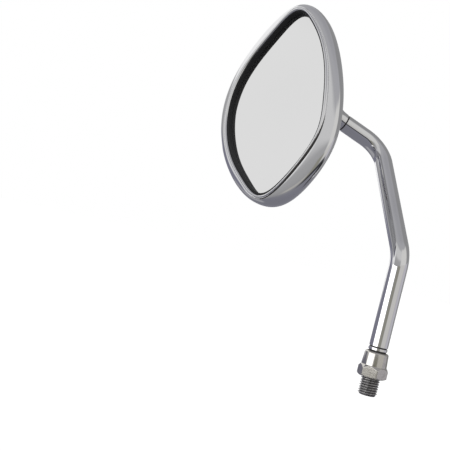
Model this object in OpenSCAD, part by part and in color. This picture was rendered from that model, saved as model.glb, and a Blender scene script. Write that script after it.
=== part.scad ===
// Motorcycle mirror for the left-hand side, with a bent stem and a ball swivel behind the head.
// Millimetres. The origin is the centre of the lock nut's lower face, on the axis of the stud.
// +Z runs up the stud, +X points inboard and the rider looks along +Y at the glass.

/* [Stem] */
// Diameter of the round bar
rod_d = 10; // [8:0.5:12]
// Height of the lower bend above the nut's seat
lower_len = 65; // [50:1:90]
// Length between the two bends
mid_len = 75.6; // [60:0.2:100]
// Length from the upper bend to the joint with the neck
neck_len = 27; // [22:0.2:45]
// How far the middle of the stem leans out of the vertical
mid_lean = 40.5; // [20:0.5:45]
// Compass direction of the middle's lean, from inboard round to the front
mid_heading = 162; // [140:1:180]
// How far the neck climbs
neck_rise = 18.5; // [5:0.5:30]
// Compass direction of the neck
neck_heading = 245; // [235:1:255]
// Centreline radius of the lower bend
lower_bend_r = 18; // [14:1:24]
// Centreline radius of the upper bend
upper_bend_r = 16; // [14:1:18]
// Height of the turned groove above the nut
groove_up = 2.5; // [2.2:0.1:4]
// Depth of the turned groove
groove_depth = 0.45; // [0.2:0.05:0.8]
// Width of the turned groove
groove_w = 0.8; // [0.5:0.1:1.2]
// Height of the thread's run-out that shows above the nut
run_out = 0.9; // [0.6:0.1:1.2]
// Width of the gap at the joint with the neck
joint_gap = 0.6; // [0.3:0.1:1]
// Depth of that gap
joint_depth = 0.7; // [0.4:0.1:0.9]

/* [Stud and lock nut] */
// Length of the free stud below the nut
stud_len = 9.6; // [9:0.2:20]
// Chamfer on the end of the stud
stud_chamfer = 1; // [0.5:0.1:1.5]
// Depth of the screw thread
thread_depth = 0.4; // [0.3:0.05:0.5]
// Size across the nut's flats
nut_flats = 14; // [13:0.5:17]
// Height of the hexagon
nut_hex_h = 6.2; // [5:0.2:7]
// Height of the round sleeve above the hexagon
nut_sleeve_h = 7.3; // [5:0.1:8]
// Height of the chamfer on top of the hexagon
nut_chamfer = 1.9; // [1:0.1:2.2]
// Diameter of the sleeve at its top
nut_sleeve_d = 12.4; // [11.6:0.1:13]
// Running clearance of the nut on the stud
nut_clear = 0.05; // [0.03:0.01:0.09]

/* [Swivel] */
// Outside radius of the ball-shaped dome
dome_r = 11.4; // [10.5:0.1:13]
// Wall of the dome
dome_wall = 1.6; // [1.2:0.1:2]
// Half angle of the dome's opening
dome_open = 42; // [40:0.5:43]
// Radius of the flange under the dome
flange_r = 15; // [14:0.5:17]
// Thickness of the flange
flange_t = 1.6; // [1.2:0.1:2.4]
// Distance from the ball centre to the flange
flange_drop = 3.8; // [3:0.1:5]
// Length of the threaded spigot inside the boss
spigot_len = 8; // [7:0.5:10]
// Thickness of the ring nut
ring_nut_t = 2.5; // [2:0.5:4]
// Thickness of the two nylon liners
liner_t = 0.7; // [0.5:0.05:0.9]
// Running gap on each side of a liner
liner_gap = 0.05; // [0.03:0.01:0.08]
// Distance from the neck joint to the ball centre
cone_reach = 20.5; // [20:0.1:28]
// Distance from the neck cone's rim to the ball centre
cone_rim = 6.2; // [5.8:0.1:7]
// Radius of the neck cone's rim
cone_rim_r = 11.4; // [11:0.1:12.5]
// Diameter of the pivot bolt
bolt_d = 6; // [5:0.5:6.5]
// Size across the flats of the bolt's head
bolt_flats = 10; // [8:1:11]

/* [Housing] */
// Length of the housing's outline
rim_len = 116; // [106:1:130]
// Width of the housing's outline
rim_wid = 81; // [76:1:92]
// Height of the lip in front of the widest section
lip_rise = 4.3; // [3.6:0.1:6]
// Distance from the outline to the lip at the long sides
lip_side = 9; // [8:0.5:11]
// Distance from the outline to the lip at the two ends
lip_end = 3.5; // [3.2:0.1:5]
// Height of the bead round the lip
bead_h = 0.55; // [0.3:0.05:0.8]
// Thickness of the lip
lip_t = 1.4; // [1.1:0.1:1.8]
// Wall of the housing
wall = 1.6; // [1.2:0.1:2]
// Depth of the housing's back in the middle
back_depth = 19.5; // [17:0.5:22]
// Slope of the flat back across the housing
back_slope = 0.42; // [0.3:0.02:0.5]
// Slope of the flat back along the housing
back_fall = 0.09; // [0:0.01:0.15]
// Radius of the round boss under the swivel
boss_r = 13.6; // [13.2:0.1:14.4]

/* [Head position] */
// Turn of the glass towards the rider
head_yaw = 10; // [0:1:20]
// Tilt of the glass upwards
head_pitch = 10.5; // [0:0.5:16]
// Roll of the head's long axis
head_roll = 11; // [0:1:16]
// Ball centre above the middle of the housing, as a share of half the length
ball_share = 0.255; // [0.2:0.005:0.3]
// Ball centre inboard of the middle of the housing
ball_side = 1.5; // [-2:0.5:4]
// Ball centre behind the widest section
ball_back = 27.2; // [26.5:0.1:29]
// Lean of the swivel's axis out of the housing's back
boss_lean = 34; // [28:1:36]
// Direction of that lean, below the inboard side
boss_turn = 12; // [0:1:20]

/* [Glass] */
// Depth of the glass below the lip
glass_recess = 3.6; // [2.6:0.1:4]
// Thickness of the glass
glass_t = 2; // [1.5:0.1:2.4]
// How far the glass reaches under the lip
glass_tuck = 0.8; // [0.6:0.1:1]
// Width of the gasket's collar inside the lip
collar_w = 0.6; // [0.4:0.1:0.8]
// Thickness of the foam pad
foam_t = 1; // [0.8:0.1:1.2]
// Thickness of the backing plate
plate_t = 1.6; // [1.2:0.1:2]
// Radius of the posts that hold the plate
post_r = 3.2; // [2.8:0.1:4]
// Diameter of the plate screws
screw_d = 2.5; // [2:0.1:3]
// Length of the plate screws
screw_len = 7.5; // [6:0.5:8]

/* [Hidden] */
$fn = 64;
EPS = 0.01;
FIT = 0.05;
HAIR = 0.06;
RUN_ON = 0.8;
rod_r = rod_d / 2;
bolt_r = bolt_d / 2;
half_wid = rim_wid / 2;
half_len = rim_len / 2;
nut_top = nut_hex_h + nut_sleeve_h;
groove_z = nut_top + groove_up;
sleeve_lap = 0.6;

// Spigot of the stem inside the neck cone, and the planes of the washers below the ball centre
neck_spigot = 5;
neck_spigot_r = rod_r - 0.9;
spring_drop = 2;
spring_wide = 3;
spring_t = 0.5;
spring_cup = 0.4;
washer_drop = 4;
washer_r = 6;
bolt_head_h = 4;
loose = 0.2;

// Vector helpers
function unit(v) = v / norm(v);
function across(z) = unit(cross(z, abs(z[2]) < 0.9 ? [0, 0, 1] : [1, 0, 0]));
function frame(o, x, y, z) = [
    [x[0], y[0], z[0], o[0]],
    [x[1], y[1], z[1], o[1]],
    [x[2], y[2], z[2], o[2]],
    [0, 0, 0, 1]];
function frame_on(o, z) = frame(o, across(z), cross(z, across(z)), z);
function heading(rise, turn) = [cos(rise) * cos(turn), cos(rise) * sin(turn), sin(rise)];

// Path of the stem, from the nut's seat to the ball centre
mid_dir = heading(90 - mid_lean, mid_heading);
neck_dir = heading(neck_rise, neck_heading);
lower_bend = [0, 0, lower_len];
upper_bend = lower_bend + mid_len * mid_dir;
neck_joint = upper_bend + neck_len * neck_dir;
ball = neck_joint + cone_reach * neck_dir;
neck_frame = frame_on(ball, -neck_dir);

// Axes of the head: inboard, up and out of the glass
head_z = [sin(head_yaw) * cos(head_pitch), -cos(head_yaw) * cos(head_pitch), sin(head_pitch)];
head_x0 = [cos(head_yaw), sin(head_yaw), 0];
head_y0 = cross(head_z, head_x0);
head_x = cos(head_roll) * head_x0 + sin(head_roll) * head_y0;
head_y = cos(head_roll) * head_y0 - sin(head_roll) * head_x0;
ball_in_head = [ball_side, ball_share * half_len, -ball_back];
head_mid = ball - ball_in_head[0] * head_x - ball_in_head[1] * head_y - ball_in_head[2] * head_z;
head_frame = frame(head_mid, head_x, head_y, head_z);
boss_dir = [sin(boss_lean) * cos(boss_turn), -sin(boss_lean) * sin(boss_turn), -cos(boss_lean)];
boss_frame = frame_on(ball_in_head, boss_dir);

// Radii of the swivel, from the inside out
shoe_r = dome_r - dome_wall - liner_t - 2 * liner_gap;
cup_r = dome_r + liner_t + 2 * liner_gap;
spigot_r = dome_r;
flange_z = -flange_drop - flange_t;
boss_end_z = flange_z - spigot_len;
liner_open = dome_open - 2;

// Heights inside the head, measured from the widest section
glass_z = lip_rise - glass_recess - glass_t;
foam_z = glass_z - foam_t;
plate_z = foam_z - plate_t;
post_angles = [18, 102, 198, 282];
post_inset = 10;

// Closed outlines as cubic splines: control points as shares of the half width and half length
RIM = [
    [-0.003, 1.098], [-0.395, 0.938], [-0.682, 0.675], [-0.923, 0.373],
    [-1.009, -0.002], [-0.874, -0.358], [-0.637, -0.637], [-0.353, -0.857],
    [-0.011, -1.002], [0.401, -0.993], [0.748, -0.746], [0.988, -0.409],
    [0.955, -0.002], [0.821, 0.346], [0.643, 0.651], [0.378, 0.953]];
LIP = [
    [0.027, 1.111], [-0.386, 0.784], [-0.675, 0.552], [-0.948, 0.303],
    [-1.055, -0.003], [-0.95, -0.314], [-0.711, -0.59], [-0.38, -0.796],
    [0.058, -1.052], [0.448, -0.853], [0.754, -0.604], [1.006, -0.338],
    [0.955, -0.021], [0.878, 0.284], [0.708, 0.58], [0.438, 0.842]];
FLAT = [
    [0.1, 0.79], [-0.2, 0.62], [-0.42, 0.43], [-0.54, 0.22],
    [-0.57, 0], [-0.51, -0.19], [-0.38, -0.38], [-0.2, -0.6],
    [0.1, -0.9], [0.27, -0.67], [0.32, -0.38], [0.35, -0.14],
    [0.35, 0.05], [0.35, 0.24], [0.35, 0.45], [0.32, 0.69]];
STEPS = 4;
function spline_at(p, i, t) = let (n = len(p))
    (pow(1 - t, 3) * p[(i + n - 1) % n]
    + (3 * pow(t, 3) - 6 * t * t + 4) * p[i]
    + (-3 * pow(t, 3) + 3 * t * t + 3 * t + 1) * p[(i + 1) % n]
    + pow(t, 3) * p[(i + 2) % n]) / 6;
function spline(p) = [for (i = [0 : len(p) - 1]) for (k = [0 : STEPS - 1]) spline_at(p, i, k / STEPS)];
function stretch(p, x, y) = [for (q = p) [q[0] * x, q[1] * y]];
function blend(a, b, f) = [for (i = [0 : len(a) - 1]) a[i] * (1 - f) + b[i] * f];
function rim_line(inside) = stretch(spline(RIM), half_wid - inside, half_len - inside);
function lip_line(outside) =
    stretch(spline(LIP), half_wid - lip_side + outside, half_len - lip_end + outside);
function flat_line(inside) = stretch(spline(FLAT), half_wid - inside, half_len - inside);
function back_at(p) = back_depth - back_slope * p[0] + back_fall * p[1];

// Rings of the shell: the back, the side, the rounded front, the bead and the lip
SIDE = [0.99, 0.93, 0.84, 0.72, 0.57, 0.39, 0.2];
FRONT = [22, 44, 66];
function lift(line, z) = [for (q = line) [q[0], q[1], z]];
function back_ring(inside, share) = [
    for (q = flat_line(inside)) let (s = q * share) [s[0], s[1], inside - back_at(s)]];
function side_ring(inside, turn) = let (r = rim_line(inside), f = flat_line(inside), w = 1 - cos(turn)) [
    for (i = [0 : len(r) - 1]) let (q = r[i] * (1 - w) + f[i] * w)
        [q[0], q[1], (inside - back_at(f[i])) * sin(turn)]];
function front_ring(inside, turn) =
    lift(blend(rim_line(inside), lip_line(0), (1 - cos(turn)) * 0.84), (lip_rise - inside) * sin(turn));
function outer_rings() = concat(
    [for (s = [0.35, 0.7, 0.92]) back_ring(0, s)],
    [for (s = SIDE) side_ring(0, s * 90)],
    [rim_ring(0)],
    [for (a = FRONT) front_ring(0, a)],
    [lift(blend(rim_line(0), lip_line(0), 0.81), lip_rise * 0.95),
     lift(blend(rim_line(0), lip_line(0), 0.89), lip_rise + bead_h),
     lift(blend(rim_line(0), lip_line(0), 0.97), lip_rise + bead_h - 0.1),
     lift(lip_line(0), lip_rise - 0.25)]);
function rim_ring(inside) = lift(rim_line(inside), 0);
function inner_rings() = concat(
    [lift(lip_line(0), lip_rise - lip_t),
     lift(blend(rim_line(wall), lip_line(0), 0.4), (lip_rise - lip_t) * 0.97)],
    [rim_ring(wall)],
    [for (k = [len(SIDE) - 1 : -2 : 0]) side_ring(wall, SIDE[k] * 90)],
    [back_ring(wall, 0.8), back_ring(wall, 0.4)]);

// Skin over a stack of rings, closed by a point at each end
module skin(rings, tip, tail) {
    n = len(rings[0]);
    m = len(rings);
    points = concat([tip], [for (r = rings) each r], [tail]);
    faces = concat(
        [for (i = [0 : n - 1]) [0, 1 + i, 1 + (i + 1) % n]],
        [for (j = [0 : m - 2]) for (i = [0 : n - 1]) let (a = 1 + j * n, b = a + n, k = (i + 1) % n)
            each [[a + i, b + i, b + k], [a + i, b + k, a + k]]],
        [for (i = [0 : n - 1]) let (a = 1 + (m - 1) * n) [a + (i + 1) % n, a + i, m * n + 1]]);
    polyhedron(points = points, faces = faces, convexity = 8);
}

// Round bar between two points, with its ends run on into the bends
module bar(from, to) {
    along = unit(to - from);
    multmatrix(frame_on(from - RUN_ON * along, along))
        cylinder(h = norm(to - from) + 2 * RUN_ON, r = rod_r);
}

// Bend of the bar at a corner between two directions, a hair thinner so that the bars cover its ends
module bend(corner, into, out, r) {
    turn = acos(into * out);
    back = r * tan(turn / 2);
    side = unit(out - (out * into) * into);
    multmatrix(frame(corner - back * into + r * side, -side, into, cross(into, side)))
        rotate_extrude(angle = turn)
            translate([r, 0]) circle(r = rod_r - HAIR);
}

module stem_rod() {
    lower_back = lower_bend_r * tan(mid_lean / 2);
    upper_turn = acos(mid_dir * neck_dir);
    upper_back = upper_bend_r * tan(upper_turn / 2);
    thread_r = rod_r - thread_depth;
    relief_r = rod_r - joint_depth;
    joint_end = cone_reach + joint_gap;
    color("silver") difference() {
        union() {
            rotate_extrude() polygon([
                [0, -stud_len], [rod_r - stud_chamfer, -stud_len], [rod_r, -stud_len + stud_chamfer],
                [rod_r, -FIT], [thread_r, -FIT], [thread_r, nut_hex_h + FIT], [rod_r, nut_hex_h + FIT],
                [rod_r, nut_top - sleeve_lap], [thread_r, nut_top - sleeve_lap],
                [thread_r, nut_top + run_out], [rod_r, nut_top + run_out],
                [rod_r, groove_z - groove_w / 2], [rod_r - groove_depth, groove_z - groove_w / 4],
                [rod_r - groove_depth, groove_z + groove_w / 4], [rod_r, groove_z + groove_w / 2],
                [rod_r, lower_len - lower_back + RUN_ON], [0, lower_len - lower_back + RUN_ON]]);
            bend(lower_bend, [0, 0, 1], mid_dir, lower_bend_r);
            bar(lower_bend + lower_back * mid_dir, upper_bend - upper_back * mid_dir);
            bend(upper_bend, mid_dir, neck_dir, upper_bend_r);
            multmatrix(neck_frame) rotate_extrude() polygon([
                [0, cone_reach - neck_spigot], [neck_spigot_r, cone_reach - neck_spigot],
                [neck_spigot_r, cone_reach], [relief_r, cone_reach],
                [relief_r, joint_end], [rod_r - 0.15, joint_end],
                [rod_r, joint_end + 0.15], [rod_r, cone_reach + neck_len - upper_back + RUN_ON],
                [0, cone_reach + neck_len - upper_back + RUN_ON]]);
        }
        multmatrix(neck_frame) translate([0, 0, cone_reach - neck_spigot - EPS])
            cylinder(h = 2 * neck_spigot + 2, r = bolt_r + FIT);
    }
}

module lock_nut() {
    corner_r = nut_flats / 2 / cos(30);
    sleeve_foot_r = nut_flats / 2 - 0.3;
    sleeve_r = nut_sleeve_d / 2;
    bore_r = rod_r - thread_depth + nut_clear;
    mouth_r = rod_r + 0.4;
    mouth_h = mouth_r - bore_r + loose;
    color("silver") difference() {
        union() {
            intersection() {
                rotate([0, 0, 30]) cylinder(h = nut_hex_h, r = corner_r, $fn = 6);
                rotate_extrude() polygon([
                    [0, 0], [nut_flats / 2 - 0.3, 0], [corner_r, 0.8],
                    [corner_r, nut_hex_h - nut_chamfer], [sleeve_foot_r - loose, nut_hex_h], [0, nut_hex_h]]);
            }
            rotate_extrude() polygon([
                [0, nut_hex_h - 1], [sleeve_foot_r, nut_hex_h - 1], [sleeve_foot_r, nut_hex_h],
                [sleeve_r, nut_top - 0.6], [sleeve_r - 0.6, nut_top], [0, nut_top]]);
        }
        translate([0, 0, -1]) cylinder(h = nut_top + 2, r = bore_r);
        translate([0, 0, -1]) cylinder(h = 1 + mouth_h, r1 = mouth_r + 1, r2 = mouth_r - mouth_h);
        translate([0, 0, nut_hex_h]) cylinder(h = nut_top, r = rod_r + 2 * nut_clear);
    }
}

module neck_cone() {
    flare = [for (k = [0 : 14]) let (s = k / 14, z = cone_reach - s * (cone_reach - cone_rim - 1.2))
        [rod_r + (cone_rim_r - rod_r) * pow(s, 2.3), z]];
    color("silver") multmatrix(neck_frame) difference() {
        rotate_extrude() polygon(concat(
            [[0, cone_reach], [rod_r - 0.2, cone_reach], [rod_r, cone_reach - 0.2]],
            [for (k = [1 : 14]) flare[k]],
            [[cone_rim_r + 0.1, cone_rim + 0.8], [cone_rim_r, cone_rim + 0.3],
             [cone_rim_r - 0.3, cone_rim], [0, cone_rim]]));
        sphere(r = cup_r);
        cylinder(h = cone_reach, r = bolt_r + 2 * FIT);
        translate([0, 0, cone_reach - neck_spigot - FIT])
            cylinder(h = neck_spigot + 1, r = neck_spigot_r + FIT);
    }
}

module outer_liner() {
    color("peru") multmatrix(neck_frame) difference() {
        sphere(r = cup_r - liner_gap);
        sphere(r = dome_r + liner_gap);
        cylinder(h = 2 * cup_r, r = cup_r * sin(liner_open));
        translate([0, 0, -2 * cup_r + cup_r * cos(61)]) cylinder(h = 2 * cup_r, r = 2 * cup_r);
    }
}

module inner_liner() {
    color("peru") multmatrix(neck_frame) difference() {
        sphere(r = dome_r - dome_wall - liner_gap);
        sphere(r = shoe_r + liner_gap);
        cylinder(h = 2 * cup_r, r = (dome_r - dome_wall) * sin(liner_open));
        translate([0, 0, -2 * cup_r + cup_r * cos(84)]) cylinder(h = 2 * cup_r, r = 2 * cup_r);
    }
}

module clamp_shoe() {
    color("gray") multmatrix(neck_frame) difference() {
        intersection() {
            sphere(r = shoe_r);
            translate([0, 0, -1]) cylinder(h = shoe_r * 0.85 + 1, r = shoe_r + 1);
        }
        translate([0, 0, -2]) cylinder(h = 2 * shoe_r, r = bolt_r + 2 * FIT);
    }
}

// Two cupped washers, one turned over on the other
module disc_springs() {
    hole_r = bolt_r + loose;
    edge_r = bolt_r + spring_wide;
    color("dimgray") multmatrix(neck_frame) translate([0, 0, -spring_drop])
        for (turn = [0, 180]) rotate([turn, 0, 0]) translate([0, 0, FIT / 2])
            rotate_extrude() polygon([
                [hole_r, spring_cup], [edge_r, 0], [edge_r, spring_t], [hole_r, spring_cup + spring_t]]);
}

module flat_washer() {
    color("gainsboro") multmatrix(neck_frame) translate([0, 0, -washer_drop]) difference() {
        cylinder(h = 1 - FIT, r = washer_r);
        translate([0, 0, -1]) cylinder(h = 3, r = bolt_r + loose);
    }
}

module pivot_bolt() {
    edge_r = bolt_flats / 2 * 0.95;
    color("gray") multmatrix(neck_frame) {
        translate([0, 0, -washer_drop]) cylinder(h = washer_drop + cone_reach + neck_spigot, r = bolt_r);
        translate([0, 0, -washer_drop - bolt_head_h]) intersection() {
            cylinder(h = bolt_head_h, r = bolt_flats / 2 / cos(30), $fn = 6);
            cylinder(h = bolt_head_h, r1 = edge_r, r2 = edge_r + bolt_head_h);
        }
    }
}

module in_head() {
    multmatrix(head_frame) children();
}

module swivel_dome() {
    hole_r = (dome_r - dome_wall) * sin(dome_open);
    color("silver") in_head() multmatrix(boss_frame) difference() {
        union() {
            difference() {
                sphere(r = dome_r);
                translate([0, 0, -2 * dome_r]) cylinder(h = 2 * dome_r, r = 2 * dome_r);
            }
            rotate_extrude() polygon([
                [0, EPS], [dome_r, EPS], [dome_r, -flange_drop + 0.5], [dome_r + 0.5, -flange_drop],
                [flange_r - 0.6, -flange_drop], [flange_r, -flange_drop - 0.5],
                [flange_r, flange_z + 0.5], [flange_r - 0.5, flange_z],
                [spigot_r - FIT, flange_z], [spigot_r - FIT, boss_end_z - ring_nut_t], [0, boss_end_z - ring_nut_t]]);
        }
        sphere(r = dome_r - dome_wall);
        translate([0, 0, boss_end_z - ring_nut_t - 1])
            cylinder(h = -boss_end_z + ring_nut_t + 1, r = dome_r - dome_wall);
        cylinder(h = 2 * dome_r, r = hole_r);
    }
}

module ring_nut() {
    notch_w = 3;
    notch_depth = 1;
    color("darkgray") in_head() multmatrix(boss_frame) translate([0, 0, boss_end_z - ring_nut_t])
        difference() {
            cylinder(h = ring_nut_t - FIT, r = boss_r);
            translate([0, 0, -1]) cylinder(h = ring_nut_t + 2, r = spigot_r);
            for (a = [0 : 90 : 270]) rotate([0, 0, a])
                translate([boss_r - notch_depth, -notch_w / 2, -1])
                    cube([2 * notch_depth, notch_w, ring_nut_t + 2]);
        }
}

// Posts for the plate screws stand on the back wall, near the lip's outline
module at_posts() {
    line = lip_line(-post_inset);
    for (a = post_angles) translate(line[round(a / 360 * len(line))]) children();
}

module housing_shell() {
    deep = back_depth * 2;
    color("silver") in_head() difference() {
        union() {
            skin(concat(outer_rings(), inner_rings()),
                [0, 0, -back_at([0, 0])], [0, 0, wall - back_at([0, 0])]);
            multmatrix(boss_frame) translate([0, 0, boss_end_z]) cylinder(h = spigot_len, r = boss_r);
            intersection() {
                at_posts() translate([0, 0, plate_z - deep]) cylinder(h = deep, r = post_r);
                skin(outer_rings(), [0, 0, -back_at([0, 0])], [0, 0, 0]);
            }
        }
        multmatrix(boss_frame) translate([0, 0, boss_end_z - 1]) cylinder(h = spigot_len + 2, r = spigot_r);
        at_posts() translate([0, 0, plate_z - screw_len]) cylinder(h = screw_len + 1, r = screw_d / 2 - 0.2);
    }
}

module slab(line, z, h) {
    translate([0, 0, z]) linear_extrude(h) polygon(line);
}

module mirror_glass() {
    color("whitesmoke") in_head() slab(lip_line(glass_tuck), glass_z, glass_t);
}

// Rubber channel round the edge of the glass, with a collar that lines the lip
module glass_gasket() {
    seat = lip_rise - lip_t - FIT;
    collar_top = lip_rise - 0.35;
    channel_w = 0.5;
    color([0.05, 0.05, 0.05]) in_head() difference() {
        union() {
            slab(lip_line(glass_tuck + channel_w), glass_z, seat - glass_z);
            slab(lip_line(-FIT), seat - 1, collar_top - seat + 1);
        }
        slab(lip_line(-collar_w), glass_z + glass_t - 1, collar_top - glass_z);
        slab(lip_line(glass_tuck + FIT), glass_z - 1, glass_t + 1 + FIT);
    }
}

module foam_pad() {
    color("darkslategray") in_head() slab(lip_line(-3), foam_z, foam_t);
}

module backing_plate() {
    color([0.15, 0.15, 0.15]) in_head() difference() {
        slab(lip_line(-0.6), plate_z, plate_t);
        at_posts() translate([0, 0, plate_z - 1]) cylinder(h = plate_t + 2, r = screw_d / 2 + 0.2);
        at_posts() translate([0, 0, plate_z + plate_t - 1.2])
            cylinder(h = 1.3, r1 = screw_d / 2 + 0.2, r2 = screw_d / 2 + 1.5);
    }
}

// Four countersunk screws through the backing plate
module plate_screws() {
    color("lightgray") in_head() at_posts() {
        translate([0, 0, plate_z + plate_t - screw_len]) cylinder(h = screw_len - 1, r = screw_d / 2);
        translate([0, 0, plate_z + plate_t - 1.15])
            cylinder(h = 1.1, r1 = screw_d / 2 + 0.1, r2 = screw_d / 2 + 1.2);
    }
}

stem_rod();
lock_nut();
neck_cone();
outer_liner();
inner_liner();
clamp_shoe();
disc_springs();
flat_washer();
pivot_bolt();
swivel_dome();
ring_nut();
housing_shell();
mirror_glass();
glass_gasket();
foam_pad();
backing_plate();
plate_screws();
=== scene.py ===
"""Motorcycle mirror: the fine surfaces, finishes and studio round the packed frame."""

import math
from functools import partial

import bpy
import numpy as np
from bpy.props import FloatProperty, FloatVectorProperty, IntProperty, PointerProperty
from mathutils import Matrix


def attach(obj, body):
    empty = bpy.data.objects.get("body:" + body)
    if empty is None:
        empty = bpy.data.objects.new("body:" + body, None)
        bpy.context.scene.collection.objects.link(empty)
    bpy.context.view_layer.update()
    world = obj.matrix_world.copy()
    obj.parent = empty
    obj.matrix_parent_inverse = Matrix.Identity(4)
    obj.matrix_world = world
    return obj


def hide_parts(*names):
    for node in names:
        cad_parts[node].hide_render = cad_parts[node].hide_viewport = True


bl_info = {
    "name": "Motorcycle mirror",
    "version": (1, 0, 0),
    "blender": (4, 5, 0),
    "location": "3D View > Sidebar > Mirror",
    "description": "Dresses a motorcycle mirror: bent stem, swivel, chrome head, glass and studio",
    "category": "Object",
}

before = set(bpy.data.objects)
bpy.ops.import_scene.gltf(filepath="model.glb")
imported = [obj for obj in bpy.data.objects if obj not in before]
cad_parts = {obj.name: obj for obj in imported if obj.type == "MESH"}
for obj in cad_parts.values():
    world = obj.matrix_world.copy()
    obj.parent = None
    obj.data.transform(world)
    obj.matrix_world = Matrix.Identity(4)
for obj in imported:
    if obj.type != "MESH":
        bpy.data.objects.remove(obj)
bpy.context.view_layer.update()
MM = 0.001
# Millimetres by which a new surface keeps inside the solid that it covers, or clear of its neighbour
HAIR = 0.05


# Sizes and colours


def size(name, value, description):
    """A length in metres, given here in millimetres."""
    return FloatProperty(name=name, description=description, default=value * MM,
                         subtype="DISTANCE", unit="LENGTH", precision=5)


def amount(name, value, description):
    """A number without a unit."""
    return FloatProperty(name=name, description=description, default=value)


def tint(name, value, description):
    """A colour, given as three shares."""
    return FloatVectorProperty(name=name, description=description, default=value,
                               size=3, subtype="COLOR", min=0, max=1)


def turn(name, value, description):
    """An angle, given here in degrees."""
    return FloatProperty(name=name, description=description, default=math.radians(value),
                         subtype="ANGLE", unit="ROTATION")


class StemSizes(bpy.types.PropertyGroup):
    """The bent bar, its stud and its lock nut"""

    rod_r: size("Bar radius", 5, "Radius of the round bar")
    lower_len: size("Lower length", 65, "Height of the lower bend above the nut's seat")
    mid_len: size("Middle length", 75.6, "Length between the two bends")
    neck_len: size("Neck length", 27, "Length from the upper bend to the joint with the neck")
    mid_lean: turn("Middle lean", 40.5, "How far the middle leans out of the vertical")
    mid_heading: turn("Middle heading", 162, "Compass direction of the middle's lean")
    neck_rise: turn("Neck rise", 18.5, "How far the neck climbs")
    neck_heading: turn("Neck heading", 245, "Compass direction of the neck")
    lower_bend_r: size("Lower bend", 18, "Centreline radius of the lower bend")
    upper_bend_r: size("Upper bend", 16, "Centreline radius of the upper bend")
    groove_up: size("Groove height", 2.5, "Height of the turned groove above the nut")
    groove_depth: size("Groove depth", 0.45, "Depth of the turned groove")
    groove_w: size("Groove width", 0.8, "Width of the turned groove")
    run_out: size("Run-out", 0.9, "Height of the thread's run-out that shows above the nut")
    joint_depth: size("Joint depth", 0.7, "Depth of the gap at the neck joint")
    joint_gap: size("Joint gap", 0.6, "Width of the gap at the neck joint")
    stud_len: size("Stud", 9.6, "Length of the free stud below the nut")
    stud_chamfer: size("Stud chamfer", 1, "Chamfer on the end of the stud")
    pitch: size("Thread pitch", 1.25, "Rise of the screw thread in one turn")
    thread_depth: size("Thread depth", 0.72, "Depth of the screw thread")
    nut_flats: size("Nut flats", 14, "Size across the nut's flats")
    nut_hex_h: size("Hexagon height", 6.2, "Height of the hexagon")
    nut_chamfer: size("Hexagon chamfer", 1.9, "Height of the chamfer on top of the hexagon")
    nut_sleeve_h: size("Sleeve height", 7.3, "Height of the round sleeve above the hexagon")
    nut_sleeve_r: size("Sleeve radius", 6.2, "Radius of the sleeve at its top")


class SwivelSizes(bpy.types.PropertyGroup):
    """The neck cone and the ball-shaped dome"""

    dome_r: size("Dome radius", 11.4, "Outside radius of the dome")
    dome_wall: size("Dome wall", 1.6, "Wall of the dome")
    dome_open: turn("Dome opening", 42, "Half angle of the dome's opening")
    flange_r: size("Flange radius", 15, "Radius of the flange under the dome")
    flange_t: size("Flange thickness", 1.6, "Thickness of the flange")
    flange_drop: size("Flange drop", 3.8, "Distance from the ball centre to the flange")
    spigot_len: size("Spigot", 8, "Length of the spigot inside the boss")
    ring_nut_t: size("Ring nut", 2.5, "Thickness of the ring nut")
    neck_spigot: size("Neck spigot", 5, "Length of the stem's spigot inside the cone")
    cone_reach: size("Cone reach", 20.5, "Distance from the neck joint to the ball centre")
    cone_rim: size("Cone rim", 6.2, "Distance from the cone's rim to the ball centre")
    cone_rim_r: size("Cone rim radius", 11.4, "Radius of the cone's rim")
    cup_r: size("Cup radius", 12.2, "Radius of the cone's hollow")
    bore_r: size("Bolt bore", 3.1, "Radius of the bore for the pivot bolt")


class HeadSizes(bpy.types.PropertyGroup):
    """The chrome housing and its glass"""

    rim_len: size("Length", 116, "Length of the housing's outline")
    rim_wid: size("Width", 81, "Width of the housing's outline")
    lip_rise: size("Lip rise", 4.3, "Height of the lip in front of the widest section")
    lip_side: size("Lip at the sides", 9, "Distance from the outline to the lip at the long sides")
    lip_end: size("Lip at the ends", 3.5, "Distance from the outline to the lip at the two ends")
    lip_t: size("Lip thickness", 1.4, "Thickness of the lip")
    wall: size("Wall", 1.6, "Wall of the housing")
    bead: size("Bead", 2.5, "Width of the rolled bead round the glass")
    back_depth: size("Back depth", 19.5, "Depth of the housing's back in the middle")
    back_slope: amount("Back slope", 0.42, "Slope of the back across the head")
    back_fall: amount("Back fall", 0.09, "Slope of the back along the head")
    boss_r: size("Boss radius", 13.6, "Radius of the round boss under the swivel")
    head_yaw: turn("Yaw", 10, "Turn of the glass towards the rider")
    head_pitch: turn("Pitch", 10.5, "Tilt of the glass upwards")
    head_roll: turn("Roll", 11, "Roll of the head's long axis")
    ball_share: amount("Ball up", 0.255, "Ball centre above the middle, as a share of half the length")
    ball_side: size("Ball inboard", 1.5, "Ball centre inboard of the middle of the housing")
    ball_back: size("Ball behind", 27.2, "Ball centre behind the widest section")
    boss_lean: turn("Boss lean", 34, "Lean of the swivel's axis out of the back")
    boss_turn: turn("Boss turn", 12, "Direction of that lean, below the inboard side")
    glass_recess: size("Glass recess", 3.4, "Depth of the glass below the lip")
    glass_t: size("Glass thickness", 2, "Thickness of the glass")
    glass_tuck: size("Glass tuck", 0.8, "How far the glass reaches under the lip")
    collar_w: size("Collar", 0.6, "Width of the gasket's collar inside the lip")
    samples: IntProperty(name="Samples", description="Samples for each point of an outline", default=18)


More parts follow.
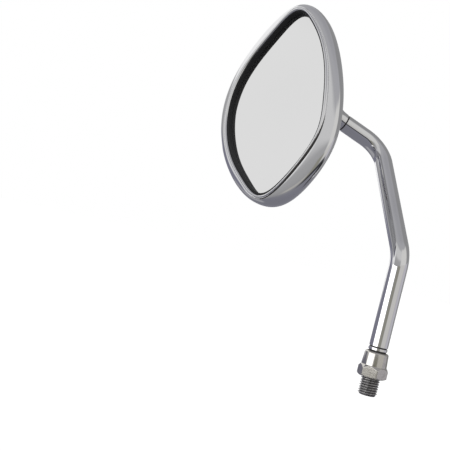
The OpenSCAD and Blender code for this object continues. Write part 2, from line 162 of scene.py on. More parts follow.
class Finishes(bpy.types.PropertyGroup):
    """Colours of the finishes"""

    chrome: tint("Chrome", (0.86, 0.86, 0.87), "Bright chrome plate")
    zinc: tint("Plated nut", (0.67, 0.65, 0.61), "Nickel plate on the nut and screws")
    steel: tint("Raw steel", (0.56, 0.55, 0.54), "Bare steel of the stud and the springs")
    # Dark colour for dirt, and for painted shade in the stem's grooves and in the gap by the bead
    soil: tint("Soil", (0.035, 0.033, 0.032), "Dark oil and dirt in the grooves")
    nylon: tint("Nylon", (0.2, 0.09, 0.04), "Brown nylon of the liners")
    glass: tint("Mirror", (0.843, 0.843, 0.843), "Silvered glass")
    rubber: tint("Rubber", (0.012, 0.012, 0.013), "Black rubber of the gasket")
    foam: tint("Foam", (0.06, 0.063, 0.065), "Grey foam pad")
    plastic: tint("Plastic", (0.022, 0.022, 0.023), "Black moulded plastic")


class Studio(bpy.types.PropertyGroup):
    """Camera, lamps and floor"""

    lens: FloatProperty(name="Lens", description="Focal length", default=72, unit="CAMERA")
    floor_z: size("Floor height", -150, "Height of the floor under the held mirror")
    world: amount("World", 0.62, "Level of the even light from all round")
    key: amount("Key lamp", 0.9, "Strength of the wide main lamp")
    fill: amount("Fill lamp", 0.4, "Strength of the wide fill lamp")
    strip: amount("Strip lamps", 0.0042, "Power of each small lamp by the stem")


def sizes(group):
    """The values of a group by name: lengths in millimetres, angles in radians."""
    out = {}
    for key, prop in group.bl_rna.properties.items():
        if prop.type == "FLOAT" and not prop.is_array:
            value = getattr(group, key)
            out[key] = value / MM if prop.unit == "LENGTH" else value
    return type("Sizes", (), out)


# Shapes as arrays


def unit(v):
    """A vector of length 1 in the same direction."""
    return v / np.linalg.norm(v)


def heading(rise, compass):
    """Direction that climbs by rise and points by compass round +Z from +X."""
    level = math.cos(rise)
    return np.array([level * math.cos(compass), level * math.sin(compass), math.sin(rise)])


def across(z):
    """Unit vector square to z: z crossed with world up."""
    return unit(np.cross(z, [0, 0, 1]))


def put(points, origin, x, y, z):
    """Points of a local frame in the object's frame: origin plus each part along its axis."""
    return origin + points[..., 0:1] * x + points[..., 1:2] * y + points[..., 2:3] * z


def closed_spline(control, steps):
    """Closed uniform cubic B-spline: each sample is four neighbours weighted by the cubic basis of its
    share t."""
    p = np.asarray(control, float)
    t = np.arange(steps) / steps
    basis = np.stack([(1 - t) ** 3, 3 * t**3 - 6 * t**2 + 4, -3 * t**3 + 3 * t**2 + 3 * t + 1, t**3], 1)
    four = np.stack([np.roll(p, 1, 0), p, np.roll(p, -1, 0), np.roll(p, -2, 0)], axis=1)
    return np.einsum("sk,nkc->nsc", basis / 6, four).reshape(-1, p.shape[1])


def through(points, steps):
    """Smooth open curve through points (Catmull-Rom): each span is the cubic whose end slopes are half
    the chord of its two neighbours."""
    p = np.asarray(points, float)
    p = np.vstack([2 * p[0] - p[1], p, 2 * p[-1] - p[-2]])
    t = (np.arange(steps) / steps)[:, None]
    a, b, c, d = p[:-3, None], p[1:-2, None], p[2:-1, None], p[3:, None]
    spans = 0.5 * (2 * b + (c - a) * t + (2 * a - 5 * b + 4 * c - d) * t**2
                   + (3 * b - a - 3 * c + d) * t**3)
    return np.vstack([spans.reshape(-1, p.shape[1]), p[-2]])


def circle(count):
    """Angles of count points round a circle."""
    return np.arange(count) / count * 2 * math.pi


def revolve(profile, around=160):
    """Rings of a surface of revolution: each (radius, height) of the profile turned about local Z."""
    angle = circle(around)
    r, z = profile[:, 0:1], profile[:, 1:2]
    return np.stack([r * np.cos(angle), r * np.sin(angle), z + 0 * angle], axis=-1)


def rounded(corners, cuts=5):
    """Profile with its corners rounded, from (radius, height, fillet) triples: each corner with a fillet
    becomes the quadratic curve from the point one fillet before it to the point one fillet after it."""
    c = np.asarray(corners, float)
    p, f = c[:, :2], c[:, 2]
    prev, after = np.roll(p, 1, 0), np.roll(p, -1, 0)
    back, on = prev - p, after - p
    a = p + back / np.maximum(np.linalg.norm(back, axis=1), 1e-9)[:, None] * f[:, None]
    b = p + on / np.maximum(np.linalg.norm(on, axis=1), 1e-9)[:, None] * f[:, None]
    t = np.linspace(0, 1, cuts)[None, :, None]
    curve = (1 - t) ** 2 * a[:, None] + 2 * t * (1 - t) * p[:, None] + t**2 * b[:, None]
    keep = np.ones((len(c), cuts), bool)
    keep[f <= 0, 1:] = False
    return curve[keep]


def arc(r, start, end, count):
    """Profile points on a circle of radius r round the origin, by their angle from the axis."""
    a = np.linspace(start, end, count)
    return np.stack([r * np.sin(a), r * np.cos(a)], 1)


def smooth_step(x):
    """0 below 0, 1 above 1 and 3x2 - 2x3 between."""
    x = np.clip(x, 0, 1)
    return x * x * (3 - 2 * x)


def grid(rings, *poles):
    """Points, quads and triangles of one closed sheet. rings is rows x round x 3 in millimetres. Quads join
    neighbours on the grid. With two poles, triangles join the first and the last row to them, and without
    poles the last row joins the first. A sheet whose volume is negative is turned inside out."""
    m, n, _ = rings.shape
    i = np.arange(n)
    k = (i + 1) % n
    row = np.arange(m - 1 if poles else m)[:, None]
    low, high = row * n, ((row + 1) % m) * n
    quads = np.stack([low + i, low + k, high + k, high + i], axis=-1).reshape(-1, 4)
    pts = np.vstack([rings.reshape(-1, 3), *poles])
    tris = np.zeros((0, 3), int)
    if poles:
        pole, last = np.full(n, m * n), (m - 1) * n
        tris = np.vstack([np.stack([pole, k, i], 1), np.stack([pole + 1, last + i, last + k], 1)])
    a, b, c, d = (pts[quads[:, j]] for j in range(4))
    e, f, g = (pts[tris[:, j]] for j in range(3))
    volume = sum(np.einsum("ij,ij->", x, np.cross(y, z)) for x, y, z in ((a, b, c), (a, c, d), (e, f, g)))
    if volume < 0:
        quads, tris = quads[:, ::-1], tris[:, ::-1]
    return pts, quads, tris


def add_object(name, data):
    """A new object in the scene."""
    thing = bpy.data.objects.new(name, data)
    bpy.context.scene.collection.objects.link(thing)
    return thing


def surface(name, sheets, body, material, replaces=(), sharp=38):
    """A piece made of closed sheets, each the rings and poles that grid takes. Edges sharper than sharp, in
    degrees, stay sharp."""
    points, corners, counts, base = [], [], [], 0
    for sheet in sheets:
        pts, quads, tris = grid(*sheet)
        points.append(pts)
        corners += [(quads + base).ravel(), (tris + base).ravel()]
        counts += [np.full(len(quads), 4), np.full(len(tris), 3)]
        base += len(pts)
    points = np.vstack(points) * MM
    corners, counts = np.concatenate(corners), np.concatenate(counts)
    mesh = bpy.data.meshes.new(name)
    mesh.vertices.add(len(points))
    mesh.vertices.foreach_set("co", points.astype(np.float32).ravel())
    mesh.loops.add(len(corners))
    mesh.loops.foreach_set("vertex_index", corners.astype(np.int32))
    mesh.polygons.add(len(counts))
    starts = np.concatenate([[0], np.cumsum(counts)[:-1]])
    mesh.polygons.foreach_set("loop_start", starts.astype(np.int32))
    mesh.polygons.foreach_set("use_smooth", np.ones(len(counts), bool))
    mesh.update(calc_edges=True)
    if mesh.validate():
        raise RuntimeError(f"{name} has a bad face")
    mesh.set_sharp_from_angle(angle=math.radians(sharp))
    mesh.materials.append(material)
    piece = add_object(name, mesh)
    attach(piece, body)
    if replaces:
        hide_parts(*replaces)
    return piece


def add_finishes(piece, materials, rows, around):
    """Gives the faces their own materials: rows holds an index for each row of around faces, or for each
    face of each row, and the faces at the two poles take the index of the first and the last row."""
    for material in materials:
        piece.data.materials.append(material)
    index = np.concatenate([rows, rows[:1], rows[-1:]])
    index = np.broadcast_to(index.reshape(len(index), -1), (len(index), around))
    piece.data.polygons.foreach_set("material_index", index.astype(np.int32).ravel())


def stand(name, data, spot, back, right):
    """A camera or a lamp at spot, in metres, facing away from back with its right side along right."""
    thing = add_object(name, data)
    turned = Matrix(np.column_stack([right, np.cross(back, right), back]).tolist()).to_4x4()
    turned.translation = np.asarray(spot).tolist()
    thing.matrix_world = turned
    return thing


# Places that the pieces share


class Places:
    """Points and axes of the mirror in millimetres, worked out from the sizes."""

    def __init__(self, scene):
        self.stem = s = sizes(scene.mirror_stem)
        self.swivel = w = sizes(scene.mirror_swivel)
        self.head = h = sizes(scene.mirror_head)
        self.samples = scene.mirror_head.samples
        self.mid_dir = heading(math.pi / 2 - s.mid_lean, s.mid_heading)
        self.neck_dir = heading(s.neck_rise, s.neck_heading)
        self.lower_bend = np.array([0, 0, s.lower_len])
        self.upper_bend = self.lower_bend + s.mid_len * self.mid_dir
        joint = self.upper_bend + s.neck_len * self.neck_dir
        self.ball = joint + w.cone_reach * self.neck_dir
        yaw, pitch, roll = h.head_yaw, h.head_pitch, h.head_roll
        self.z = np.array([math.sin(yaw) * math.cos(pitch), -math.cos(yaw) * math.cos(pitch),
                           math.sin(pitch)])
        x0 = np.array([math.cos(yaw), math.sin(yaw), 0])
        y0 = np.cross(self.z, x0)
        self.x = math.cos(roll) * x0 + math.sin(roll) * y0
        self.y = math.cos(roll) * y0 - math.sin(roll) * x0
        self.ball_local = np.array([h.ball_side, h.ball_share * h.rim_len / 2, -h.ball_back])
        self.mid = self.ball - self.ball_local @ np.stack([self.x, self.y, self.z])
        lean, way = h.boss_lean, h.boss_turn
        self.boss_local = np.array([math.sin(lean) * math.cos(way), -math.sin(lean) * math.sin(way),
                                    -math.cos(lean)])
        self.boss_dir = self.boss_local @ np.stack([self.x, self.y, self.z])
        self.flange_z = -w.flange_drop - w.flange_t
        self.nut_top = s.nut_hex_h + s.nut_sleeve_h
        self.groove_z = self.nut_top + s.groove_up

    def in_head(self, points):
        """From the head's own axes, inboard, up and out of the glass, to the object's frame."""
        return put(points, self.mid, self.x, self.y, self.z)

    def on_axis(self, points, axis):
        """From a frame on the ball centre with its Z along axis."""
        side = across(axis)
        return put(points, self.ball, side, np.cross(axis, side), axis)


# Outlines as closed splines, in shares of the half width and the half length
RIM = [
    [-0.003, 1.098], [-0.395, 0.938], [-0.682, 0.675], [-0.923, 0.373],
    [-1.009, -0.002], [-0.874, -0.358], [-0.637, -0.637], [-0.353, -0.857],
    [-0.011, -1.002], [0.401, -0.993], [0.748, -0.746], [0.988, -0.409],
    [0.955, -0.002], [0.821, 0.346], [0.643, 0.651], [0.378, 0.953],
]
LIP = [
    [0.027, 1.111], [-0.41, 0.8], [-0.722, 0.578], [-0.978, 0.315],
    [-1.055, -0.003], [-0.95, -0.314], [-0.711, -0.59], [-0.38, -0.796],
    [0.058, -1.052], [0.448, -0.853], [0.754, -0.604], [1.006, -0.338],
    [0.955, -0.021], [0.878, 0.284], [0.708, 0.58], [0.438, 0.842],
]
FLAT = [
    [0.1, 0.79], [-0.2, 0.62], [-0.42, 0.43], [-0.54, 0.22],
    [-0.57, 0], [-0.51, -0.19], [-0.38, -0.38], [-0.2, -0.6],
    [0.1, -0.9], [0.27, -0.67], [0.32, -0.38], [0.35, -0.14],
    [0.35, 0.05], [0.35, 0.24], [0.35, 0.45], [0.32, 0.69],
]


class Outlines:
    """The three outlines of the head at a given fineness."""

    # What the straight edges of the solid's rim cut off the curve, in millimetres
    CUT_OFF = 0.09

    def __init__(self, places):
        self.h = places.head
        self.rim_shares = closed_spline(RIM, places.samples)
        self.lip_shares = closed_spline(LIP, places.samples)
        self.flat_shares = closed_spline(FLAT, places.samples)

    def rim(self, inside=0.0):
        """The widest outline, kept inside the solid's."""
        inside = inside + self.CUT_OFF
        return self.rim_shares * [self.h.rim_wid / 2 - inside, self.h.rim_len / 2 - inside]

    def lip(self, outside=0.0):
        """The lip's line moved outside by one number or by one for each point."""
        h, out = self.h, np.broadcast_to(outside, len(self.lip_shares))[:, None]
        return self.lip_shares * ([h.rim_wid / 2 - h.lip_side, h.rim_len / 2 - h.lip_end] + out)

    def flat(self, inside=0.0):
        """The edge of the flat back."""
        return self.flat_shares * [self.h.rim_wid / 2 - inside, self.h.rim_len / 2 - inside]

    def back(self, p):
        """Depth of the sloping back under a point of the head's plane."""
        return self.h.back_depth - self.h.back_slope * p[..., 0] + self.h.back_fall * p[..., 1]


def lift(line, z):
    """A flat line at height z, which may be one number or one for each point."""
    return np.concatenate([line, np.broadcast_to(z, line.shape[:-1])[..., None]], axis=-1)


def between(first, second, share, z):
    """Flat lines at height z that go from the first to the second by share."""
    share = np.asarray(share)[..., None]
    return lift(first * (1 - share) + second * share, z)


def bulge(line, start, end):
    """For each point of a line by its compass direction: 0 at start and end, in degrees, and half a sine
    wave between them."""
    compass = np.degrees(np.arctan2(line[:, 1], line[:, 0]))
    return np.sin(np.clip((compass - start) / (end - start), 0, 1) * math.pi)


# Shader maths


WHITE = (1, 1, 1, 1)


class Wire:
    """A node's output that does sums: + and * add Math nodes."""

    def __init__(self, board, socket):
        self.board, self.socket = board, socket

    def sum_of(self, operation, first, second):
        return self.board.node("ShaderNodeMath", {"operation": operation}, {0: first, 1: second})

    def __add__(self, other):
        return self.sum_of("ADD", self, other)

    def __radd__(self, other):
        return self.sum_of("ADD", other, self)

    def __mul__(self, other):
        return self.sum_of("MULTIPLY", self, other)

    def __rmul__(self, other):
        return self.sum_of("MULTIPLY", other, self)


class Board:
    """The node tree of a material or a world under construction."""

    def __init__(self, owner):
        owner.use_nodes = True
        self.tree = owner.node_tree
        self.tree.nodes.clear()

    def node(self, kind, settings=None, values=None, out=0):
        """Adds a node, sets its settings first and then its sockets, and gives one output. A ramp's stops
        are (place, colour) pairs under the setting stops."""
        made = self.tree.nodes.new(kind)
        for key, value in (settings or {}).items():
            if key == "stops":
                ramp = made.color_ramp
                while len(ramp.elements) < len(value):
                    ramp.elements.new(0.5)
                for element, (place, colour) in zip(ramp.elements, value):
                    element.position = place
                    element.color = colour
            else:
                setattr(made, key, value)
        for key, value in (values or {}).items():
            socket = made.inputs[key]
            if isinstance(value, Wire):
                self.tree.links.new(value.socket, socket)
            else:
                socket.default_value = value
        return Wire(self, made.outputs[out]) if len(made.outputs) else None

    def place(self):
        """Object coordinates, in metres."""
        return self.node("ShaderNodeTexCoord", out="Object")

    def noise(self, vector, scale, detail, rough):
        values = {"Vector": vector, "Scale": scale, "Detail": detail, "Roughness": rough}
        return self.node("ShaderNodeTexNoise", {}, values)

    def stretched(self, vector, scale):
        """A vector scaled by a different number on each axis."""
        return self.node("ShaderNodeMapping", {}, {"Vector": vector, "Scale": scale})

    def steps(self, value, low, high, start=0.0, end=1.0):
        """Smooth step from start to end while value goes from low to high."""
        values = {"Value": value, "From Min": low, "From Max": high, "To Min": start, "To Max": end}
        return self.node("ShaderNodeMapRange", {"interpolation_type": "SMOOTHSTEP"}, values)

    def mix(self, share, first, second):
        """Colour between first and second."""
        a, b = (value if isinstance(value, Wire) else rgba(value) for value in (first, second))
        return self.node("ShaderNodeMix", {"data_type": "RGBA"}, {"Factor": share, 6: a, 7: b}, out=2)

    def vector(self, operation, *values, out="Vector"):
        """Vector Math on links or on three numbers each."""
        return self.node("ShaderNodeVectorMath", {"operation": operation}, dict(enumerate(values)), out)

    def dot(self, vector, way):
        return self.vector("DOT_PRODUCT", vector, tuple(way), out="Value")

    def bump(self, height, distance, strength):
        values = {"Height": height, "Distance": distance, "Strength": strength}
        return self.node("ShaderNodeBump", {}, values)

    def ray(self, kind):
        """1 for rays of that kind, 0 for the others."""
        return self.node("ShaderNodeLightPath", out=f"Is {kind} Ray")


def finish(name, constants, build):
    """A Principled material. constants are values on its own sockets, and build(board) gives the sockets
    that change over the surface."""
    board = Board(bpy.data.materials.new(name))
    shader = board.node("ShaderNodeBsdfPrincipled", {}, {**constants, **build(board)})
    board.node("ShaderNodeOutputMaterial", {}, {"Surface": shader})


def rgba(colour):
    """A colour of three shares with full cover."""
    return (*colour, 1.0)


def times(colour, factor):
    """A colour made lighter or darker."""
    return tuple(share * factor for share in colour)


def chrome_plate(f, board):
    """Bright chrome: slow clouds in tone and polish, and a faint ripple in the surface."""
    at = board.place()
    cloud = board.noise(at, 26.0, 3.0, 0.5)
    fine = board.noise(at, 900.0, 2.0, 0.6)
    ripple = board.noise(at, 30.0, 1.0, 0.4)
    return {
        "Base Color": board.mix(board.steps(cloud, 0.4, 0.7), f.chrome, times(f.chrome, 0.95)),
        "Roughness": board.steps(cloud * 0.6 + fine * 0.4, 0.3, 0.7, 0.03, 0.075),
        "Normal": board.bump(ripple, 0.00012, 0.35),
    }


def bare_steel(f, board):
    """Raw steel with streaks round the stud: painted shade near the axis and in the thread's valleys, and a
    painted highlight on the crests."""
    valley_r, crest_r = 0.0043, 0.00485
    at = board.place()
    streak = board.noise(board.stretched(at, (160.0, 160.0, 1400.0)), 1.0, 4.0, 0.6)
    grime = board.noise(at, 240.0, 4.0, 0.6)
    radius = board.vector("LENGTH", board.vector("MULTIPLY", at, (1, 1, 0)), out="Value")
    # Painted light: the steel's colour is darker in the thread's valleys and lighter on its crests
    crest = board.steps(radius, valley_r, crest_r)
    lit_and_shaded_steel = board.mix(crest, times(f.steel, 0.42), times(f.steel, 1.25))
    return {
        "Base Color": board.mix(board.steps(grime, 0.46, 0.7), lit_and_shaded_steel, times(f.steel, 0.5)),
        "Roughness": board.steps(streak, 0.3, 0.7, 0.16, 0.28),
        "Normal": board.bump(streak, 0.00002, 0.3),
    }


def nickel_plate(f, board):
    """Dull plate with turning marks round the axis and worn spots."""
    at = board.place()
    turned = board.noise(board.stretched(at, (60.0, 60.0, 2600.0)), 1.0, 3.0, 0.6)
    spots = board.noise(at, 320.0, 5.0, 0.65)
    return {
        "Base Color": board.mix(board.steps(spots, 0.54, 0.76), f.zinc, times(f.zinc, 0.74)),
        "Roughness": board.steps(turned * 0.6 + spots * 0.4, 0.3, 0.7, 0.09, 0.2),
        "Normal": board.bump(turned, 0.00002, 0.3),
    }


def brown_nylon(f, board):
    """Nylon with slow clouds of a lighter tone and a fine grain."""
    at = board.place()
    grain = board.noise(at, 900.0, 3.0, 0.6)
    cloud = board.noise(at, 120.0, 2.0, 0.5)
    return {
        "Base Color": board.mix(cloud, f.nylon, times(f.nylon, 1.35)),
        "Roughness": board.steps(grain, 0.3, 0.7, 0.38, 0.55),
        "Normal": board.bump(grain, 0.00002, 0.4),
    }


def silvered_glass(f, board):
    """Silvering under glass, with a trace of haze."""
    haze = board.noise(board.place(), 14.0, 2.0, 0.5)
    return {
        "Base Color": board.mix(board.steps(haze, 0.3, 0.8), f.glass, times(f.glass, 0.985)),
        "Roughness": board.steps(haze, 0.3, 0.8, 0.012, 0.03),
    }


def foam_cells(f, board):
    """Foam with small open cells."""
    values = {"Vector": board.place(), "Scale": 1400.0}
    cells = board.node("ShaderNodeTexVoronoi", {"feature": "F1"}, values)
    return {
        "Base Color": board.mix(cells, f.foam, times(f.foam, 1.7)),
        "Roughness": board.steps(cells, 0.0, 0.8, 0.82, 0.96),
        "Normal": board.bump(cells, 0.0002, 0.6),
    }


def shine(level):
    """Constants of a finish that isn't metal."""
    return {"Specular IOR Level": level}


def grained(key, scale, detail, lighter, low, high, height):
    """One colour with a grain of that scale: lighter on its peaks, from low to high in roughness."""

    def build(f, board):
        colour = getattr(f, key)
        grain = board.noise(board.place(), scale, detail, 0.6)
        return {
            "Base Color": board.mix(grain, colour, times(colour, lighter)),
            "Roughness": board.steps(grain, 0.3, 0.7, low, high),
            "Normal": board.bump(grain, height, 0.5),
        }

    return build


# Each finish with the constants on its shader and what varies over its surface
METAL = {"Metallic": 1.0}
FINISHES = {
    "chrome_plate": (METAL, chrome_plate),
    "bare_steel": (METAL, bare_steel),
    "nickel_plate": (METAL, nickel_plate),
    # Dark finish for the grooves and the gap by the bead: dirt, and painted shade where shade falls in them
    "groove_soil": (shine(0.3), grained("soil", 700.0, 4.0, 1.9, 0.5, 0.75, 0.00004)),
    "brown_nylon": (shine(0.45), brown_nylon),
    "silvered_glass": ({**METAL, "Coat Weight": 0.6, "Coat Roughness": 0.01}, silvered_glass),
    "gasket_rubber": (shine(0.35), grained("rubber", 1500.0, 3.0, 1.8, 0.5, 0.68, 0.00003)),
    "foam_cells": (shine(0.2), foam_cells),
    "moulded_plastic": (shine(0.45), grained("plastic", 1100.0, 3.0, 1.6, 0.36, 0.55, 0.00004)),
}


# Operators, one for each piece


class PieceOperator:
    """What the piece operators share: the places and the finishes."""

    bl_options = {"REGISTER", "UNDO"}

    def kit(self, context):
        """The places and the finishes, which the first piece makes."""
        scene = context.scene
        for name, (constants, build) in FINISHES.items():
            if name not in bpy.data.materials:
                finish(name, constants, partial(build, scene.mirror_finishes))
        return Places(scene), bpy.data.materials


class MIRROR_OT_stem(PieceOperator, bpy.types.Operator):
    """Bent chrome bar with its groove and its threaded stud"""

    bl_idname = "mirror.stem"
    bl_label = "Stem"

    # Faces round the bar, and the distance of two rows in the thread
    AROUND, THREAD_ROW = 128, 0.09
    # Depths under the bar's radius: the thread's crest, the neck in the nut, the run-out and the spigot
    CREST, NUT_NECK, RUN_OUT, SPIGOT = 0.04, 0.42, 0.4, 0.9
    # Lengths in which the run-out's two ends and the gap's edge fall, how far the run-out and the dark
    # finish of dirt and painted shade reach into the nut, and how much thinner the bar is where that finish
    # lies
    EASE, GAP_EASE, RUN_OUT_IN, SOIL_IN, SOIL_DEPTH = 0.1, 0.12, 0.6, 0.5, 0.2

    def rows(self, p, k, span):
        """Lengths along straight k at which the bar has a row, close together where the thread, the groove
        and the joint are."""
        s = p.stem
        if k == 0:
            thread = np.arange(0, s.stud_len + s.nut_hex_h + 0.05, self.THREAD_ROW)
            low, high = p.nut_top - 1 + s.stud_len, p.groove_z + 1 + s.stud_len
            return np.concatenate([thread, np.linspace(thread[-1] + 0.5, low - 0.4, 6),
                                   np.linspace(low, high, 90), np.linspace(high + 1, span, 24)])
        if k == 1:
            return np.linspace(0.6, span, 40)
        joint = span - p.swivel.neck_spigot
        return np.concatenate([np.linspace(0.4, joint - 1.2, 12), np.linspace(joint - 0.9, joint + 0.1, 60),
                               [span - 2, span]])

    def spine(self, p):
        """Centreline of the bar by length: straights, and arcs whose frame turns about the bend's own axis.
        Gives points, and the two unit vectors square to the path."""
        s = p.stem
        ways = [np.array([0, 0, 1.0]), p.mid_dir, p.neck_dir]
        bends = [(p.lower_bend, s.lower_bend_r), (p.upper_bend, s.upper_bend_r)]
        at, side = np.array([0, 0, -s.stud_len]), np.array([1.0, 0, 0])
        points, us, vs = [], [], []
        for k, way in enumerate(ways):
            stop = p.ball - (p.swivel.cone_reach - p.swivel.neck_spigot) * p.neck_dir
            if k < 2:
                (corner, r), ahead = bends[k], ways[k + 1]
                bend_turn = math.acos(way @ ahead)
                stop = corner - r * math.tan(bend_turn / 2) * way
            ls = self.rows(p, k, np.linalg.norm(stop - at))
            points.append(at + ls[:, None] * way)
            us.append(np.repeat(side[None], len(ls), 0))
            vs.append(np.repeat(np.cross(way, side)[None], len(ls), 0))
            if k < 2:
                inward = unit(ahead - (ahead @ way) * way)
                axis = np.cross(way, inward)
                a = np.linspace(0, bend_turn, 30)[1:, None]
                points.append(stop + r * (np.sin(a) * way + (1 - np.cos(a)) * inward))
                turned = np.cos(a) * side + np.sin(a) * np.cross(axis, side)
                turned = turned + (1 - np.cos(a)) * (axis @ side) * axis
                us.append(turned)
                vs.append(np.cross(np.cos(a) * way + np.sin(a) * inward, turned))
                at, side = points[-1][-1], turned[-1]
        return np.vstack(points), np.vstack(us), np.vstack(vs)

    def radius(self, p, length, angle):
        """Radius by length and angle. The thread is a smooth step of the distance from its ridge. The
        neck in the nut, the chamfer, the groove, the run-out and the joint's gap are taken off it, and the
        spigot is round."""
        s = p.stem
        z = (length - s.stud_len)[:, None]
        phase = (z / s.pitch - angle / (2 * math.pi)) % 1
        flank = smooth_step((np.abs(2 * phase - 1) - 0.1) / 0.8)
        crest = s.rod_r - self.CREST
        radius = np.where(z < s.nut_hex_h, crest - s.thread_depth * flank, s.rod_r - HAIR)
        in_nut = (z > -HAIR) & (z < s.nut_hex_h + HAIR)
        radius = np.where(in_nut, np.minimum(radius, s.rod_r - self.NUT_NECK), radius)
        radius = np.minimum(radius, s.rod_r - s.stud_chamfer + length[:, None])
        groove = np.abs(z - p.groove_z) / (s.groove_w / 2)
        radius = radius - s.groove_depth * (1 - smooth_step((groove - 0.5) / 0.5))
        above = z - p.nut_top
        run_out = smooth_step((above + self.RUN_OUT_IN) / self.EASE)
        run_out = run_out * (1 - smooth_step((above - s.run_out + self.EASE) / self.EASE))
        radius = radius - self.RUN_OUT * run_out
        left = (length[-1] - length)[:, None] - p.swivel.neck_spigot
        gap = (1 - smooth_step((left - s.joint_gap) / self.GAP_EASE)) * s.joint_depth
        return np.where(left < 0, s.rod_r - self.SPIGOT, radius - gap)

    def execute(self, context):
        p, mats = self.kit(context)
        s = p.stem
        line, u, v = self.spine(p)
        step = np.linalg.norm(np.diff(line, axis=0), axis=1)
        length = np.concatenate([[0], np.cumsum(step)])
        angle = circle(self.AROUND)
        radius = self.radius(p, length, angle)
        cosine, sine = np.cos(angle)[:, None], np.sin(angle)[:, None]
        rings = line[:, None] + radius[..., None] * (cosine * u[:, None] + sine * v[:, None])
        bar = surface("stem_bar", [(rings, line[0], line[-1])], "stem",
                      mats["chrome_plate"], ["stem_rod"])
        z = length - s.stud_len
        # Rows where the bar is thinned above the nut take the dark finish: dirt, and painted shade in the
        # groove, run-out and gap
        painted_shade_faces = (z > p.nut_top - self.SOIL_IN) & (radius.min(axis=1) < s.rod_r - self.SOIL_DEPTH)
        index = np.where(painted_shade_faces, 2, np.where(z < s.nut_hex_h, 1, 0))[:-1]
        add_finishes(bar, [mats["bare_steel"], mats["groove_soil"]], index, len(angle))
        return {"FINISHED"}


class MIRROR_OT_nut(PieceOperator, bpy.types.Operator):
    """Lock nut: a chamfered hexagon with a round sleeve"""

    bl_idname = "mirror.nut"
    bl_label = "Lock nut"

    # Faces round the nut, and in millimetres the flat on its corners, the foot's step inside the flats, the
    # chamfer above it, the sleeve's edge, the bore under the bar's radius and its countersink
    AROUND = 360
    CORNER, FOOT, LOW_CHAMFER, EDGE, BORE, SINK = 0.12, 0.3, 0.8, 0.6, 0.35, 0.4

    def execute(self, context):
        p, mats = self.kit(context)
        s = p.stem
        angle = circle(self.AROUND)
        flat = s.nut_flats / 2
        corner = flat / math.cos(math.pi / 6)
        hexagon = flat / np.cos((angle + math.pi / 6) % (math.pi / 3) - math.pi / 6)
        hexagon = np.minimum(hexagon, corner - self.CORNER)
        foot = flat - self.FOOT
        shoulder = s.nut_hex_h - s.nut_chamfer
        heights = np.concatenate([np.linspace(0, 1.2, 9), np.linspace(1.8, shoulder - 0.3, 6),
                                  np.linspace(shoulder, s.nut_hex_h, 20)])[:, None]
        below = foot + heights * (corner - foot) / self.LOW_CHAMFER
        above = foot + (s.nut_hex_h - heights) * (corner - foot) / s.nut_chamfer
        side = np.minimum(np.minimum(hexagon, below), above)
        bore, sink, throat = s.rod_r - self.BORE, s.rod_r + self.SINK, s.rod_r + 0.1
        sleeve = rounded([
            (foot, s.nut_hex_h + 0.02, 0), (s.nut_sleeve_r, p.nut_top - self.EDGE, 0.25),
            (s.nut_sleeve_r - self.EDGE, p.nut_top, 0.25), (throat, p.nut_top, 0), (throat, s.nut_hex_h, 0),
            (bore, s.nut_hex_h, 0), (bore, sink - bore, 0), (sink, 0, 0),
        ])
        hexagon_rows = np.stack([side * np.cos(angle), side * np.sin(angle), heights + 0 * angle], -1)
        rings = np.concatenate([hexagon_rows, revolve(sleeve, self.AROUND)])
        surface("lock_nut_body", [(rings,)], "nut", mats["nickel_plate"], ["lock_nut"], sharp=24)
        return {"FINISHED"}


class MIRROR_OT_swivel(PieceOperator, bpy.types.Operator):
    """Neck cone on the stem and the ball-shaped dome on the head"""

    bl_idname = "mirror.swivel"
    bl_label = "Swivel"

    # Power of the trumpet's flare, and height of its rolled rim
    FLARE, RIM_ROLL = 2.3, 1.2

    def cone(self, p):
        """Trumpet whose radius grows with a power of the way to the rim, rolled rim and hollow cup."""
        w, rod = p.swivel, p.stem.rod_r
        reach, rim, rim_r = w.cone_reach, w.cone_rim, w.cone_rim_r
        share = np.linspace(0.03, 1, 40)
        low = rim + self.RIM_ROLL
        flare = np.stack([rod + (rim_r - rod) * share**self.FLARE, reach - share * (reach - low)], 1)
        roll = through([flare[-1], (rim_r + 0.1, rim + 0.8), (rim_r + 0.03, rim + 0.35),
                        (rim_r - 0.3, rim)], 5)
        cup = arc(w.cup_r, math.acos((rim + HAIR) / w.cup_r), math.asin(w.bore_r / w.cup_r), 40)
        socket, socket_r = reach - w.neck_spigot - HAIR, rod - 0.85
        end = np.array([(w.bore_r, socket), (socket_r, socket), (socket_r, reach), (rod - 0.2, reach),
                        (rod - 0.06, reach - 0.05), (rod, reach - 0.2)])
        return np.vstack([flare, roll[1:], cup, end])

    def dome(self, p):
        """Ball zone from the opening's edge down to the flange, then the spigot and the hollow inside."""
        w, flange = p.swivel, p.flange_z
        inner_r = w.dome_r - w.dome_wall
        hole = inner_r * math.sin(w.dome_open)
        ball = arc(w.dome_r, math.asin((hole + 0.15) / w.dome_r), math.pi / 2, 60)
        spigot_r, spigot_end = w.dome_r - HAIR, flange - w.spigot_len - w.ring_nut_t
        foot = rounded([
            (w.dome_r, -w.flange_drop, 0.55), (w.flange_r, -w.flange_drop, 0.6), (w.flange_r, flange, 0.45),
            (spigot_r, flange, 0), (spigot_r, spigot_end, 0), (inner_r, spigot_end, 0),
        ], 9)
        hollow = arc(inner_r, math.pi / 2, math.asin(hole / inner_r), 40)
        lip = np.array([(hole, math.sqrt((w.dome_r - 0.1) ** 2 - hole**2))])
        return np.vstack([ball, foot, hollow, lip])

    def execute(self, context):
        p, mats = self.kit(context)
        cone = p.on_axis(revolve(self.cone(p)), -p.neck_dir)
        surface("neck_trumpet", [(cone,)], "stem", mats["chrome_plate"], ["neck_cone"], sharp=50)
        dome = p.on_axis(revolve(self.dome(p)), p.boss_dir)
        surface("ball_dome", [(dome,)], "head", mats["chrome_plate"], ["swivel_dome"], sharp=50)
        return {"FINISHED"}


